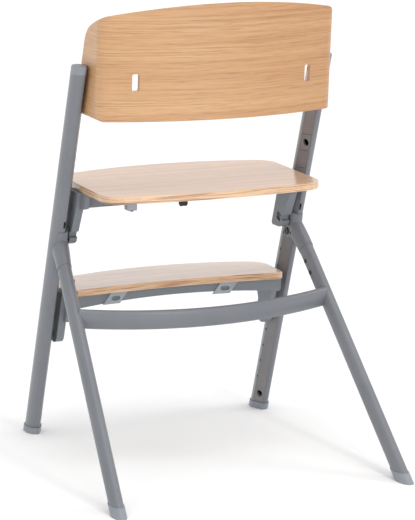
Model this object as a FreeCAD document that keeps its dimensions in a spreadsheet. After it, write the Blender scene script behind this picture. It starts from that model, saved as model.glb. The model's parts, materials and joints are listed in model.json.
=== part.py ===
import FreeCAD, Part
import Sketcher
import math
import os
import re

# Folding baby high chair. Z is up, the front of the chair faces -Y and +X is the child's left.
# The origin is on the floor, in the middle of the footprint.

Vector = FreeCAD.Vector
Rotation = FreeCAD.Rotation
Placement = FreeCAD.Placement

doc = FreeCAD.newDocument("HighChair")
sheet = doc.addObject("Spreadsheet::Sheet", "Dims")

DIMENSIONS = {
    # front posts
    "post_lean": 20.8,
    "post_axis_x": 241.0,
    "post_axis_y": -288.6,
    "post_top": 743.0,
    "cap_top": 758.0,
    "foot_collar": 13.5,
    "post_half_width": 14.5,
    "post_half_depth": 24.0,
    "post_end_radius": 11.5,
    "post_wall": 2.2,
    "facet_distance": 13.2,
    "facet_angle": 27.0,
    "facet_middle": 6.6,
    "channel_width": 20.0,
    "channel_depth": 4.0,
    "strip_top_seam": 595.0,
    "strip_middle_seam": 562.0,
    "strip_low_seam": 527.0,
    "strip_gap": 0.8,
    "socket_height": 582.5,
    "socket_radius": 6.75,
    "low_bolt_height": 38.0,
    "low_bolt_radius": 7.0,
    "index_pitch": 37.75,
    "index_start": 76.6,
    "index_radius": 2.35,
    "index_count": 13,
    "end_plug": 12.0,
    "foot_flare": 2.3,
    # rear legs
    "leg_foot_x": 280.3,
    "leg_foot_y": 288.6,
    "leg_top_x": 246.9,
    "leg_top_y": -78.4,
    "leg_top_z": 367.4,
    "leg_half_width": 12.5,
    "leg_half_depth": 18.0,
    "leg_end_radius": 9.5,
    "leg_wall": 2.0,
    "leg_collar": 17.0,
    "leg_flare": 1.2,
    # hinge
    "pivot_y": -125.6,
    "pivot_z": 394.2,
    "pivot_radius": 5.0,
    "fork_gap": 0.4,
    "fairing_top": 439.0,
    "fold_angle": 46.0,
    "knuckle_edge": 21.8,
    "leg_screw_high": 28.0,
    "leg_screw_low": 54.5,
    # crossbar
    "bar_middle_y": 42.0,
    "bar_middle_z": 282.0,
    "bar_radius": 792.0,
    "bar_tilt": 12.5,
    "bar_half_height": 19.0,
    "bar_half_depth": 9.0,
    "bar_end_radius": 7.0,
    "bar_wall": 2.2,
    "bar_half_angle": 18.4,
    # boards
    "board_thickness": 13.5,
    "board_half_width": 217.0,
    "board_edge": 1.6,
    "seat_top": 525.0,
    "seat_front": -226.0,
    "seat_front_radius": 601.6,
    "seat_rear": 85.0,
    "seat_rear_radius": 1140.0,
    "seat_corner": 42.0,
    "rest_top": 316.0,
    "rest_front": -262.0,
    "rest_front_radius": 601.6,
    "rest_rear": -128.0,
    "rest_rear_radius": 1479.0,
    "rest_front_corner": 45.0,
    "rest_rear_corner": 12.0,
    # backrest
    "back_bottom": 663.0,
    "back_top": 875.0,
    "back_rear_y": 106.5,
    "back_bend_radius": 560.0,
    "back_corner_radius": 27.0,
    "back_half_width": 229.6,
    "back_thickness": 9.0,
    "back_lean": 4.5,
    "back_crown_radius": 1146.0,
    "back_top_round": 20.0,
    "back_bottom_round": 9.0,
    "back_end": -24.2,
    "back_end_corner": 59.0,
    "back_end_slope": 22.8,
    "back_end_peak": 823.0,
    "back_slot_x": 168.0,
    "back_slot_z": 735.0,
    "back_slot_width": 12.6,
    "back_slot_height": 31.0,
    "back_bolt_low": 690.0,
    "back_bolt_high": 726.0,
    "back_bolt_line": -4.0,
    "back_bolt_seat": 222.2,
    # carriers
    "ear_outer": 224.8,
    "ear_thickness": 14.8,
    "rest_ear_bottom": 197.0,
    "rest_ear_front": -24.0,
    "rest_ear_rear": 20.0,
    "beam_thickness": 7.0,
    "window": 16.0,
    # pins and latches
    "pin_radius": 2.0,
    "pin_length": 12.8,
    "pin_head": 5.5,
    "pin_head_height": 3.0,
    "pin_throw": 5.5,
    "pin_window": 10.5,
    "latch_width": 3.2,
    "latch_height": 8.0,
    "latch_travel": 5.0,
    # screws
    "big_head": 7.0,
    "leg_head": 4.0,
    "board_head": 4.0,
    "bolt_head": 6.5,
    "bolt_shank": 3.0,
    "screw_shank": 2.0,
    "screw_hole": 2.2,
    # small blocks under the seat and clips on the footrest
    "anchor_length": 14.8,
    "anchor_width": 11.0,
    "anchor_height": 9.5,
    "stop_length": 18.8,
    "stop_width": 19.0,
    "stop_height": 12.4,
    "clip_thickness": 3.0,
}

for row, (alias, value) in enumerate(DIMENSIONS.items(), start=1):
    sheet.set("A%d" % row, alias.replace("_", " "))
    sheet.set("B%d" % row, str(value))
    sheet.setAlias("B%d" % row, alias)
doc.recompute()


def dim(alias):
    """Value of one sheet cell."""
    return float(sheet.get(alias))


def link(text):
    """Point every dimension name in an expression at the sheet."""
    def swap(match):
        word = match.group(0)
        return "Dims." + word if word in DIMENSIONS else word
    return re.sub(r"[a-z][a-z_]+", swap, str(text))


def bind(item, **sizes):
    """Bind properties of an object to expressions of the sheet."""
    for name, text in sizes.items():
        item.setExpression(name.replace("__", "."), link(text))
    return item


def origin_plane(body, role):
    return [item for item in body.Origin.OriginFeatures if item.Role == role][0]


def new_sketch(body, name, role="XY_Plane", offset=None):
    sketch = body.newObject("Sketcher::SketchObject", name)
    sketch.AttachmentSupport = [(origin_plane(body, role), "")]
    sketch.MapMode = "FlatFace"
    if offset is not None:
        sketch.AttachmentOffset = offset
    return sketch


def name_constraint(sketch, constraint, label, text):
    index = sketch.addConstraint(constraint)
    sketch.renameConstraint(index, label)
    sketch.setExpression("Constraints." + label, link(text))


def arc_of(centre, radius, start, end):
    circle = Part.Circle(Vector(centre[0], centre[1], 0), Vector(0, 0, 1), radius)
    return Part.ArcOfCircle(circle, math.radians(start), math.radians(end))


def draw_oval(sketch, half_width, half_depth, end_radius):
    """Four-arc oval: tight arcs at both ends of Y, flat arcs on both sides of X."""
    a, b, r = [evaluate(text) for text in (half_width, half_depth, end_radius)]
    c = b - r
    k = (c * c - (a - r) ** 2) / (2 * (a - r))
    big = k + a
    turn = math.degrees(math.atan2(c, k))
    sketch.addGeometry(arc_of((0, c), r, turn, 180 - turn))
    sketch.addGeometry(arc_of((k, 0), big, 180 - turn, 180 + turn))
    sketch.addGeometry(arc_of((0, -c), r, 180 + turn, 360 - turn))
    sketch.addGeometry(arc_of((-k, 0), big, 360 - turn, 360 + turn))
    add = sketch.addConstraint
    add(Sketcher.Constraint("Coincident", 0, 2, 1, 1))
    add(Sketcher.Constraint("Coincident", 1, 2, 2, 1))
    add(Sketcher.Constraint("Coincident", 2, 2, 3, 1))
    add(Sketcher.Constraint("Tangent", 3, 2, 0, 1))
    add(Sketcher.Constraint("Symmetric", 0, 1, 0, 2, -2))
    add(Sketcher.Constraint("Symmetric", 2, 1, 2, 2, -2))
    add(Sketcher.Constraint("Symmetric", 0, 1, 2, 2, -1))
    add(Sketcher.Constraint("Equal", 0, 2))
    add(Sketcher.Constraint("Equal", 1, 3))
    half_width, half_depth, end_radius = ["(%s)" % text for text in (half_width, half_depth, end_radius)]
    ctext = "(%s - %s)" % (half_depth, end_radius)
    wtext = "(%s - %s)" % (half_width, end_radius)
    ktext = "((%s * %s - %s * %s) / (2 * %s))" % (ctext, ctext, wtext, wtext, wtext)
    name_constraint(sketch, Sketcher.Constraint("DistanceY", -1, 1, 0, 3, c), "EndCentre", ctext)
    name_constraint(sketch, Sketcher.Constraint("Radius", 0, r), "EndRadius", end_radius)
    name_constraint(sketch, Sketcher.Constraint("Radius", 1, big), "SideRadius", ktext + " + " + half_width)


def evaluate(text):
    """Value of a short sum of sheet names and numbers, such as "post_wall + 2"."""
    total = 0.0
    sign = 1.0
    for word in str(text).split():
        if word in "+-":
            sign = -1.0 if word == "-" else 1.0
        else:
            total += sign * (dim(word) if word in DIMENSIONS else float(word))
            sign = 1.0
    return total


def oval_bar(name, half_width, half_depth, end_radius, length, where, start=0.0):
    """Solid bar of oval section along the local Z of its placement."""
    body = doc.addObject("PartDesign::Body", name)
    sketch = new_sketch(body, name + "_section", offset=Placement(Vector(0, 0, start), Rotation()))
    draw_oval(sketch, half_width, half_depth, end_radius)
    pad = body.newObject("PartDesign::Pad", name + "_pad")
    pad.Profile = sketch
    bind(pad, Length=length)
    body.Placement = where
    return body


def box(name, size, low, where=None):
    """Box with its low corner at `low`, in the frame of `where`."""
    item = doc.addObject("Part::Box", name)
    bind(item, Length=size[0], Width=size[1], Height=size[2])
    corner = Vector(*[evaluate(text) for text in low])
    item.Placement = (where or Placement()).multiply(Placement(corner, Rotation()))
    return item


def rod(name, radius, length, start, direction):
    """Cylinder from a point along a direction."""
    item = doc.addObject("Part::Cylinder", name)
    bind(item, Radius=radius, Height=length)
    item.Placement = Placement(Vector(*start), Rotation(Vector(0, 0, 1), Vector(*direction)))
    return item


def taper(name, low_radius, high_radius, length, start, direction):
    item = doc.addObject("Part::Cone", name)
    bind(item, Radius1=low_radius, Radius2=high_radius, Height=length)
    item.Placement = Placement(Vector(*start), Rotation(Vector(0, 0, 1), Vector(*direction)))
    return item


def cut(name, base, tools):
    item = doc.addObject("Part::Cut", name)
    item.Base = base
    item.Tool = tools if not isinstance(tools, list) else join(name + "_tools", tools)
    return item


def join(name, items):
    if len(items) == 1:
        return items[0]
    item = doc.addObject("Part::MultiFuse", name)
    item.Shapes = items
    return item


def common(name, first, second):
    item = doc.addObject("Part::Common", name)
    item.Base = first
    item.Tool = second
    return item


def group(name, items):
    """Separate equal solids kept together in one node."""
    item = doc.addObject("Part::Compound", name)
    item.Links = items
    return item


def slab(name, low, high):
    """Level slab that makes the horizontal end cuts."""
    item = doc.addObject("Part::Box", name)
    bind(item, Length="900", Width="1100", Height="(%s) - (%s)" % (high, low))
    item.Placement = Placement(Vector(-450, -550, evaluate(low)), Rotation())
    bind(item, Placement__Base__z=low)
    return item


PARTS = []


def hand_in(item, label):
    item.Label = label
    PARTS.append(item)
    return item


lean = math.radians(dim("post_lean"))
SLOPE = math.tan(lean)
ALONG = Vector(0, math.sin(lean), math.cos(lean))
BACK = Vector(0, math.cos(lean), -math.sin(lean))


def post_frame(side):
    """Frame of a post: Z runs up the leaning axis, Y points to the rear."""
    base = Vector(side * dim("post_axis_x"), dim("post_axis_y"), 0)
    return Placement(base, Rotation(Vector(1, 0, 0), -dim("post_lean")))


def on_post(side, x, v, height):
    """Point v behind the post's axis at a given height along the axis, x being absolute."""
    base = Vector(x * side, dim("post_axis_y"), 0)
    return base + ALONG * height + BACK * v


def up_axis(z, v=0.0):
    """Distance along the axis at which a point v behind it has height z."""
    return (z + v * math.sin(lean)) / math.cos(lean)


def facet_frame(side):
    """Frame on the post's flat facet: X across the facet, Y out of it, Z up the axis."""
    angle = math.radians(dim("facet_angle"))
    out = Vector(-side * math.cos(angle), math.sin(angle), 0)
    across = out.cross(Vector(0, 0, 1))
    turn = Rotation(across, out, Vector(0, 0, 1), "ZXY")
    tau = dim("facet_middle")
    rearward = across if across.y > 0 else across * -1
    point = out * dim("facet_distance") + rearward * tau
    return post_frame(side).multiply(Placement(point, turn))


def channel_strip(name, side, low, high):
    where = facet_frame(side)
    strip = box(name + "_bar", ("channel_width", "channel_depth", "900"),
                ("-10", "-4", "-40"), where)
    return common(name, strip, slab(name + "_slab", low, high))


def leg_frame(side):
    """Frame of a rear leg: Z runs up the leg to the hinge, the origin is at its upper end."""
    top = Vector(side * dim("leg_top_x"), dim("leg_top_y"), dim("leg_top_z"))
    foot = Vector(side * dim("leg_foot_x"), dim("leg_foot_y"), 0)
    axis = top - foot
    axis.normalize()
    depth = axis.cross(Vector(1, 0, 0))
    depth.normalize()
    if depth.y < 0:
        depth = depth * -1
    width = depth.cross(axis)
    return Placement(top, Rotation(width, depth, axis, "ZXY"))


SIDES = (("left", 1), ("right", -1))
PIVOT = Vector(0, dim("pivot_y"), dim("pivot_z"))


def inward(side):
    return (-side, 0, 0)


# ---------------------------------------------------------------- front posts
def index_points(side):
    """Points of the index hole row on the post's innermost line."""
    points = []
    for n in range(int(dim("index_count"))):
        points.append(on_post(side, dim("post_axis_x"), 0, dim("index_start") + n * dim("index_pitch")))
    return points


def back_bolt_points(side, x):
    """Points on the axes of the backrest bolts at a given distance from the middle."""
    line = dim("back_bolt_line")
    return [on_post(side, x, line, up_axis(dim(key), line)) for key in ("back_bolt_low", "back_bolt_high")]


def latch_box(name, side, room, travel):
    """Fold latch tab in the rear of the post; with room and travel it is the tab's slot."""
    width = dim("latch_width")
    height = dim("latch_height")
    low = up_axis(441.0, 24.0)
    where = post_frame(side).multiply(Placement(Vector(-side * 0.5, 0, low), Rotation()))
    item = doc.addObject("Part::Box", name)
    bind(item, Length="latch_width + %s" % (2 * room), Width=str(6.6 + (6 if room else 0)),
         Height="latch_height + %s" % (travel + 2 * room))
    corner = Vector(-width / 2 - room, 18.2 - room, -room)
    item.Placement = where.multiply(Placement(corner, Rotation()))
    return item


def hole_row(label, side):
    """Index holes, pivot bore and latch slot, shared by the post and its lower strip."""
    tools = []
    for n, point in enumerate(index_points(side)):
        tools.append(rod("%s_index_%d" % (label, n), "index_radius", "20", point, inward(side)))
    pivot = PIVOT + Vector(side * (dim("post_axis_x") + 9.0), 0, 0)
    tools.append(rod(label + "_pivot", "pivot_radius + 0.05", "60", pivot, inward(side)))
    tools.append(latch_box(label + "_latch_slot", side, 0.35, dim("latch_travel")))
    return tools


def make_post(label, side):
    frame = post_frame(side)
    outer = oval_bar(label + "_outer", "post_half_width", "post_half_depth", "post_end_radius",
                     "900", frame, -40)
    length = common(label + "_length", outer, slab(label + "_slab", "foot_collar", "post_top"))
    inner = oval_bar(label + "_inner", "post_half_width - post_wall", "post_half_depth - post_wall",
                     "post_end_radius - post_wall", "900", frame, -40)
    facet = facet_frame(side)
    beyond = box(label + "_beyond", ("80", "40", "940"), ("-40", "0", "-60"), facet)
    channel = box(label + "_channel", ("channel_width", "channel_depth + 1", "940"),
                  ("-10", "-4", "-60"), facet)
    wall = box(label + "_wall", ("80", "46", "940"), ("-40", "-6.2", "-60"), facet)
    bore = cut(label + "_bore", inner, wall)
    tools = [beyond, channel, bore] + hole_row(label, side)
    for n, point in enumerate(back_bolt_points(side, dim("post_axis_x"))):
        tools.append(rod("%s_back_bolt_%d" % (label, n), "bolt_shank + 0.1", "20", point, inward(side)))
    for key, radius in (("socket_height", "socket_radius"), ("low_bolt_height", "low_bolt_radius")):
        up = dim(key) / math.cos(lean)
        start = facet.multVec(Vector(0, -9, up))
        out = facet.Rotation.multVec(Vector(0, 1, 0))
        tools.append(rod("%s_%s" % (label, key), radius, "12", start, out))
    hand_in(cut(label, length, tools), label)


def make_post_end(label, side, low, high, plug_low, plug_high, flare, round_top):
    """Cap or foot: a collar that covers the tube's end and a plug that goes into it."""
    frame = post_frame(side)
    collar = oval_bar(label + "_oval", "post_half_width + " + flare, "post_half_depth + " + flare,
                      "post_end_radius + " + flare, "900", frame, -40)
    beyond = box(label + "_beyond", ("80", "40", "940"), ("-40", flare, "-60"), facet_frame(side))
    faced = cut(label + "_faced", collar, beyond)
    head = common(label + "_head", faced, slab(label + "_slab", low, high))
    if round_top:
        doc.recompute()
        rounded = doc.addObject("Part::Fillet", label + "_rounded")
        rounded.Base = head
        top = evaluate(high)
        edges = [n + 1 for n, edge in enumerate(head.Shape.Edges)
                 if abs(edge.BoundBox.ZMin - top) < 0.01 and abs(edge.BoundBox.ZMax - top) < 0.01]
        rounded.Edges = [(n, 3.0, 3.0) for n in edges]
        head = rounded
    plug = oval_bar(label + "_plug_oval", "post_half_width - post_wall - 0.2",
                    "post_half_depth - post_wall - 0.2", "post_end_radius - post_wall - 0.2",
                    "900", frame, -40)
    wall = box(label + "_plug_wall", ("80", "46", "940"), ("-40", "-6.4", "-60"), facet_frame(side))
    plug_faced = cut(label + "_plug_faced", plug, wall)
    plug_part = common(label + "_plug", plug_faced, slab(label + "_plug_slab", plug_low, plug_high))
    hand_in(join(label, [head, plug_part]), label)


for word, side in SIDES:
    make_post(word + "_post", side)
    make_post_end(word + "_post_cap", side, "post_top", "cap_top", "post_top - end_plug", "post_top",
                  "0", True)
    make_post_end(word + "_post_foot", side, "0", "foot_collar", "foot_collar",
                  "foot_collar + 16", "foot_flare", False)
    lower = channel_strip(word + "_lower_raw", side, "foot_collar", "strip_low_seam")
    facet = facet_frame(side)
    out = facet.Rotation.multVec(Vector(0, 1, 0))
    bolt = rod(word + "_low_bolt_hole", "low_bolt_radius", "12",
               facet.multVec(Vector(0, -9, dim("low_bolt_height") / math.cos(lean))), out)
    hand_in(cut(word + "_lower_strip", lower, [bolt] + hole_row(word + "_lower", side)), word + "_lower_strip")
    hand_in(channel_strip(word + "_middle_strip", side, "strip_low_seam + strip_gap", "strip_middle_seam"),
            word + "_middle_strip")
    socket_raw = channel_strip(word + "_socket_raw", side, "strip_middle_seam + strip_gap", "strip_top_seam")
    up = dim("socket_height") / math.cos(lean)
    hole = rod(word + "_socket_hole", "socket_radius", "12", facet.multVec(Vector(0, -9, up)), out)
    mouth = taper(word + "_socket_mouth", "socket_radius", "socket_radius + 1.6", "1.6",
                  facet.multVec(Vector(0, -1.5, up)), out)
    hand_in(cut(word + "_socket_strip", socket_raw, [hole, mouth]), word + "_socket_strip")
    hand_in(channel_strip(word + "_top_strip", side, "strip_top_seam + strip_gap", "post_top"),
            word + "_top_strip")

# ---------------------------------------------------------------- rear legs
def leg_screw_points(side):
    """The two screws on each leg's inner face, in the leg's frame."""
    return [Vector(-side * dim("leg_half_width"), 0, -down) for down in (dim("leg_screw_high"), dim("leg_screw_low"))]


def make_leg(label, side):
    frame = leg_frame(side)
    outer = oval_bar(label + "_outer", "leg_half_width", "leg_half_depth", "leg_end_radius",
                     "600", frame, -600)
    inner = oval_bar(label + "_inner", "leg_half_width - leg_wall", "leg_half_depth - leg_wall",
                     "leg_end_radius - leg_wall", "640", frame, -620)
    holes = [inner]
    toward = frame.Rotation.multVec(Vector(-side, 0, 0))
    for n, point in enumerate(leg_screw_points(side)):
        holes.append(rod("%s_hole_%d" % (label, n), "screw_hole", "12",
                         frame.multVec(point + Vector(side * 6, 0, 0)), toward))
        holes.append(rod("%s_spot_%d" % (label, n), "leg_head + 0.2", "3",
                         frame.multVec(point + Vector(side * 0.5, 0, 0)), toward))
    tube = cut(label + "_tube", outer, holes)
    hand_in(common(label, tube, slab(label + "_slab", "leg_collar", "700")), label)


def make_leg_foot(label, side):
    frame = leg_frame(side)
    collar = oval_bar(label + "_oval", "leg_half_width + leg_flare", "leg_half_depth + leg_flare",
                      "leg_end_radius + leg_flare", "640", frame, -600)
    head = common(label + "_head", collar, slab(label + "_slab", "0", "leg_collar"))
    plug = oval_bar(label + "_plug_oval", "leg_half_width - leg_wall - 0.2",
                    "leg_half_depth - leg_wall - 0.2", "leg_end_radius - leg_wall - 0.2",
                    "640", frame, -600)
    plug_part = common(label + "_plug", plug, slab(label + "_plug_slab", "leg_collar", "leg_collar + 20"))
    hand_in(join(label, [head, plug_part]), label)


for word, side in SIDES:
    make_leg(word + "_rear_leg", side)
    make_leg_foot(word + "_rear_foot", side)


# ---------------------------------------------------------------- crossbar
def make_crossbar():
    body = doc.addObject("PartDesign::Body", "bar_solid")
    sketch = new_sketch(body, "bar_section", "YZ_Plane",
                        Placement(Vector(dim("bar_radius"), 0, 0), Rotation()))
    draw_oval(sketch, "bar_half_depth", "bar_half_height", "bar_end_radius")
    turn = body.newObject("PartDesign::Revolution", "bar_bend")
    turn.Profile = sketch
    turn.ReferenceAxis = ([item for item in body.Origin.OriginFeatures if item.Role == "Z_Axis"][0], [""])
    turn.Midplane = True
    bind(turn, Angle="2 * bar_half_angle")
    tilt = Rotation(Vector(1, 0, 0), -dim("bar_tilt"))
    centre = tilt.multVec(Vector(0, -dim("bar_radius"), 0))
    middle = Vector(0, dim("bar_middle_y"), dim("bar_middle_z"))
    body.Placement = Placement(middle + centre, tilt)
    hollow = doc.addObject("PartDesign::Body", "bar_hollow")
    inner = new_sketch(hollow, "bar_hollow_section", "YZ_Plane",
                       Placement(Vector(dim("bar_radius"), 0, 0), Rotation()))
    draw_oval(inner, "bar_half_depth - bar_wall", "bar_half_height - bar_wall", "bar_end_radius - bar_wall")
    sweep = hollow.newObject("PartDesign::Revolution", "bar_hollow_bend")
    sweep.Profile = inner
    sweep.ReferenceAxis = ([item for item in hollow.Origin.OriginFeatures if item.Role == "Z_Axis"][0], [""])
    sweep.Midplane = True
    bind(sweep, Angle="2 * bar_half_angle")
    hollow.Placement = body.Placement
    tools = [hollow]
    for word, side in SIDES:
        tools.append(oval_bar("bar_end_" + word, "leg_half_width", "leg_half_depth", "leg_end_radius",
                              "600", leg_frame(side), -600))
        tools.append(box("bar_outside_" + word, ("100", "200", "200"),
                         (str(254.0 if side > 0 else -354.0), "-100", "200")))
    hand_in(cut("rear_crossbar", body, tools), "rear_crossbar")


make_crossbar()


def outline_plate(name, points, length, role="YZ_Plane", symmetric=True):
    """Straight-edged outline padded to a length."""
    body = doc.addObject("PartDesign::Body", name)
    sketch = new_sketch(body, name + "_outline", role)
    for first, second in zip(points, points[1:] + points[:1]):
        sketch.addGeometry(Part.LineSegment(Vector(first[0], first[1], 0), Vector(second[0], second[1], 0)))
    pad = body.newObject("PartDesign::Pad", name + "_pad")
    pad.Profile = sketch
    if symmetric:
        pad.SideType = "Symmetric"
    bind(pad, Length=length)
    return body


# ---------------------------------------------------------------- hinge knuckles
def make_knuckle(label, side):
    """Fork that carries the leg on the pivot and wraps the rear of the post."""
    frame = leg_frame(side)
    body = doc.addObject("PartDesign::Body", label + "_body")
    sections = []
    lean_in = -side * 1.0
    for n, (up, half_width, half_depth, out, back) in enumerate((
            (0, "leg_half_width + 1.0", "leg_half_depth + 1.0", 0, 0),
            (22, "leg_half_width + 1.8", "leg_half_depth + 1.6", 1.0, -0.5),
            (44, "leg_half_width + 3.2", "leg_half_depth + 3.5", 2.2, -3.5),
            (66, "leg_half_width + 3.8", "leg_half_depth + 6.0", 3.2, -9.0))):
        offset = Placement(Vector(lean_in * out, back, up), Rotation())
        sketch = new_sketch(body, "%s_section_%d" % (label, n), offset=offset)
        draw_oval(sketch, half_width, half_depth, "leg_end_radius + %.1f" % (1.0 + 0.04 * up))
        sections.append(sketch)
    loft = body.newObject("PartDesign::AdditiveLoft", label + "_loft")
    loft.Profile = sections[0]
    loft.Sections = sections[1:]
    body.Placement = frame
    # rounded head of the fork around the pivot
    head = rod(label + "_head", "12", "8", PIVOT + Vector(side * 227.8, 0, 0), (side, 0, 0))
    # shell that hugs the rear of the post above the pivot
    shell = doc.addObject("PartDesign::Body", label + "_shell_body")
    rings = []
    for n, (height, wide, deep) in enumerate(((380, 2.4, 9.0), (400, 2.0, 5.8), (420, 1.5, 3.2), (440, 1.0, 1.5))):
        level = Placement(Vector(0, 0, up_axis(height)), Rotation())
        ring = new_sketch(shell, "%s_ring_%d" % (label, n), offset=level)
        draw_oval(ring, "post_half_width + %s" % wide, "post_half_depth + %s" % deep, "post_end_radius + %s" % wide)
        rings.append(ring)
    skin = shell.newObject("PartDesign::AdditiveLoft", label + "_shell_loft")
    skin.Profile = rings[0]
    skin.Sections = rings[1:]
    shell.Placement = post_frame(side)
    rear = box(label + "_rear", ("60", "40", "900"), ("-30", "11.5", "0"), post_frame(side))
    shell_rear = common(label + "_shell_rear", shell, rear)
    shell_part = common(label + "_shell", shell_rear, slab(label + "_shell_slab", "396", "fairing_top"))
    spigot = oval_bar(label + "_spigot", "leg_half_width - leg_wall - 0.1",
                      "leg_half_depth - leg_wall - 0.1", "leg_end_radius - leg_wall - 0.1",
                      "70", frame, -62)
    whole = join(label + "_whole", [body, head, shell_part, spigot])
    # level with the post's innermost line, so that the seat's ears pass
    inside = box(label + "_inside", ("60", "300", "300"),
                 (str(227.6 - 60 if side > 0 else -227.6), "-250", "250"))
    # the outer side of the post stays free: the knuckle only stands behind it there
    outside = box(label + "_outside", ("40", "160", "400"), ("0" if side > 0 else "-40", "knuckle_edge - 160", "250"),
                  post_frame(side))
    blank = cut(label + "_blank", whole, [inside, outside])
    # room for the post at rest, then for its rear, facet and front as the fork swings
    room = oval_bar(label + "_room", "post_half_width + fork_gap", "post_half_depth + fork_gap",
                    "post_end_radius + fork_gap", "900", post_frame(side), -40)
    beyond = box(label + "_room_facet", ("80", "40", "940"), ("-40", "fork_gap", "-60"), facet_frame(side))
    shape = cut(label + "_seated", blank, cut(label + "_room_cut", room, beyond))
    for n, (offset, x_low) in enumerate(((12.1, 230.4), (-3.5, 228.2), (-7.8, 222.0))):
        swing = outline_plate("%s_swing_%d" % (label, n), swing_outline(offset), str(255.9 - x_low))
        swing.Placement = Placement(Vector(side * (255.9 + x_low) / 2, 0, 0), Rotation())
        shape = cut("%s_swung_%d" % (label, n), shape, swing)
    pin_room = rod(label + "_pin_room", "pivot_radius + 0.05", "80",
                   PIVOT + Vector(side * 200 + (0 if side > 0 else -80), 0, 0), (1, 0, 0))
    head_room = rod(label + "_head_room", "big_head + 0.35", "12",
                    PIVOT + Vector(side * 227.7, 0, 0), (-side, 0, 0))
    screw_seat = rod(label + "_screw_seat", "3.0", "12", Vector(side * 231.6, -110.0, 393.0), (-side, 0, 0))
    screw_bore = rod(label + "_screw_bore", "1.6", "20", Vector(side * 240, -110.0, 393.0), (-side, 0, 0))
    tools = [pin_room, head_room, screw_seat, screw_bore]
    for n, point in enumerate(leg_screw_points(side)):
        tools.append(rod("%s_leg_bore_%d" % (label, n), "screw_hole", "12",
                         frame.multVec(point + Vector(side * 11, 0, 0)), frame.Rotation.multVec(Vector(-side, 0, 0))))
    hand_in(cut(label, shape, tools), label)


def swing_outline(offset):
    """Area swept in side view by everything up to `offset` behind the pivot as the fork folds."""
    fold = dim("fold_angle")
    steps = 4
    turn = Rotation(Vector(1, 0, 0), fold)
    if offset > 0:
        half = Rotation(Vector(1, 0, 0), fold / 2).multVec(BACK)
        points = [PIVOT + half * (offset / math.cos(math.radians(fold / 2)))]
    else:
        points = [PIVOT + Rotation(Vector(1, 0, 0), fold * n / steps).multVec(BACK) * offset
                  for n in range(steps + 1)]
    reach = PIVOT + turn.multVec(BACK) * offset
    down = turn.multVec(ALONG * -1)
    points.append(reach + down * 130)
    points.append(PIVOT - ALONG * 150 - BACK * 60)
    points.append(PIVOT + ALONG * 20 - BACK * 60)
    points.append(PIVOT + ALONG * 20 + BACK * offset)
    return [(point.y, point.z) for point in points]


for word, side in SIDES:
    make_knuckle(word + "_hinge_knuckle", side)


# ---------------------------------------------------------------- boards
SEAT_SCREWS = ((-150, -160), (150, -160), (-150, -80), (150, -80))
REST_SCREWS = ((-150, -218), (150, -218), (-150, -176), (150, -176))
BLOCK_SCREWS = ((64.3, 66.5), (71.7, 66.5), (168.5, 56.5), (168.5, 66.5))


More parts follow.
